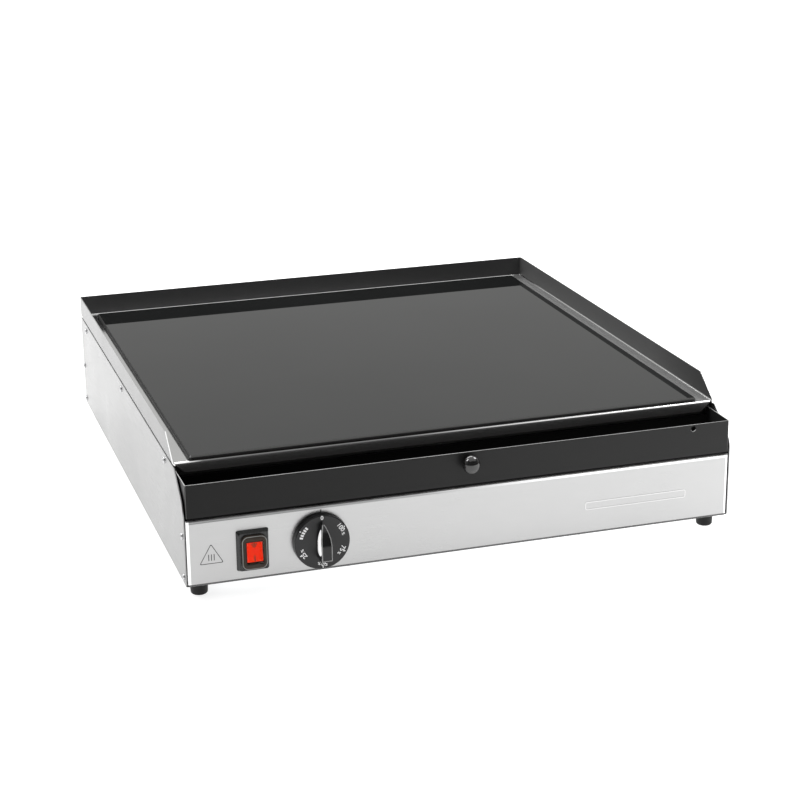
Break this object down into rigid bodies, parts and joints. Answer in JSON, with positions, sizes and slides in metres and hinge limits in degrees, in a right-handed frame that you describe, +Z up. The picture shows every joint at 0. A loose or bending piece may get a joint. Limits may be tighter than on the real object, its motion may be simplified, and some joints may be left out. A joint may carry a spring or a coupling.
{
  "type": "flat top griddle",
  "caption": "Counter-top electric griddle: flat black glass plate in a bright steel rim with splash guards, front drip tray with knob, power dial, sealed rocker switch and rubber feet.",
  "frame": {"origin": "centre of the bounding box in plan, on the plane the feet stand on", "axes": "+X to the right as seen from the front, +Y from the front panel to the back, +Z up from the worktop"},
  "size_m": [0.5634, 0.6274, 0.147],
  "materials": {
    "casing_steel": "fine grain, satin",
    "bright_steel": "mirror-bright",
    "black_glass": "polished black glass ceramic",
    "silicone": "matt black sealant",
    "knob_black": "glossy black",
    "dial_grey": "satin dark grey",
    "bezel_black": "moulded black",
    "rocker_red": "translucent orange-red",
    "clear_boot": "clear soft moulding",
    "screw_zinc": "bright plated",
    "rubber_black": "matt black",
    "galvanised": "galvanised sheet",
    "fibre": "pressed fibre insulation",
    "ribbon_alloy": "oxidised resistance alloy",
    "ceramic": "cream ceramic",
    "moulding_black": "moulded black",
    "brass": "plain",
    "spring_steel": "spring steel",
    "shaft_steel": "turned",
    "cam_plastic": "natural nylon",
    "lamp_glass": "neon lamp",
    "wire_brown": "insulated lead",
    "wire_green": "insulated earth lead",
    "block_white": "moulded white"
  },
  "bodies": {
    "casing": {"bottom_plate": "galvanised", "bottom_screws": "screw_zinc", "deck": "bright_steel", "deck_bracket_left": "galvanised", "deck_bracket_rear": "galvanised", "deck_bracket_right": "galvanised", "earth_stud": "brass", "foot_front_left": "rubber_black", "foot_front_right": "rubber_black", "foot_rear_left": "rubber_black", "foot_rear_right": "rubber_black", "foot_screws": "screw_zinc", "front_panel": "casing_steel", "gland_body": "moulding_black", "gland_cap": "moulding_black", "gland_nut": "moulding_black", "glass_plate": "black_glass", "glass_seal": "silicone", "heat_shield": "galvanised", "heater_insulation_left": "fibre", "heater_insulation_right": "fibre", "heater_limiter_left": "ceramic", "heater_limiter_right": "ceramic", "heater_pan_left": "galvanised", "heater_pan_right": "galvanised", "heater_rail_front": "galvanised", "heater_rail_rear": "galvanised", "heater_ribbon_left": "ribbon_alloy", "heater_ribbon_right": "ribbon_alloy", "heater_springs": "spring_steel", "left_side_panel": "casing_steel", "rear_panel": "casing_steel", "regulator_cover": "moulding_black", "regulator_housing": "moulding_black", "regulator_screws": "screw_zinc", "regulator_terminals": "brass", "right_side_panel": "casing_steel", "side_screws_left": "screw_zinc", "side_screws_right": "screw_zinc", "switch_body": "moulding_black", "switch_boot": "clear_boot", "switch_frame": "bezel_black", "switch_lamp": "lamp_glass", "switch_terminals": "brass", "terminal_block": "block_white", "terminal_screws": "brass", "thermal_cutout": "ceramic", "tray_shelf": "casing_steel", "wire_earth": "wire_green", "wire_heater": "wire_brown", "wire_live": "wire_brown", "wire_switch_link": "wire_brown"},
    "tray": {"drip_tray": "casing_steel", "tray_knob": "knob_black", "tray_knob_screw": "screw_zinc"},
    "dial": {"dial_knob": "dial_grey", "dial_clip": "spring_steel", "regulator_shaft": "shaft_steel", "regulator_cam": "cam_plastic"},
    "rocker": {"switch_rocker": "rocker_red"}
  },
  "joints": [
    {"name": "tray_slide", "type": "slide", "parent": "casing", "child": "tray", "axis": [0, -1, 0], "range_m": [0, 0.045]},
    {"name": "dial_turn", "type": "hinge", "parent": "casing", "child": "dial", "pos_m": [-0.149, -0.29035, 0.0461], "axis": [0, 1, 0], "range_deg": [0, 300]},
    {"name": "rocker_tilt", "type": "hinge", "parent": "casing", "child": "rocker", "pos_m": [-0.2152, -0.28835, 0.0453], "axis": [1, 0, 0], "range_deg": [0, 14]}
  ]
}
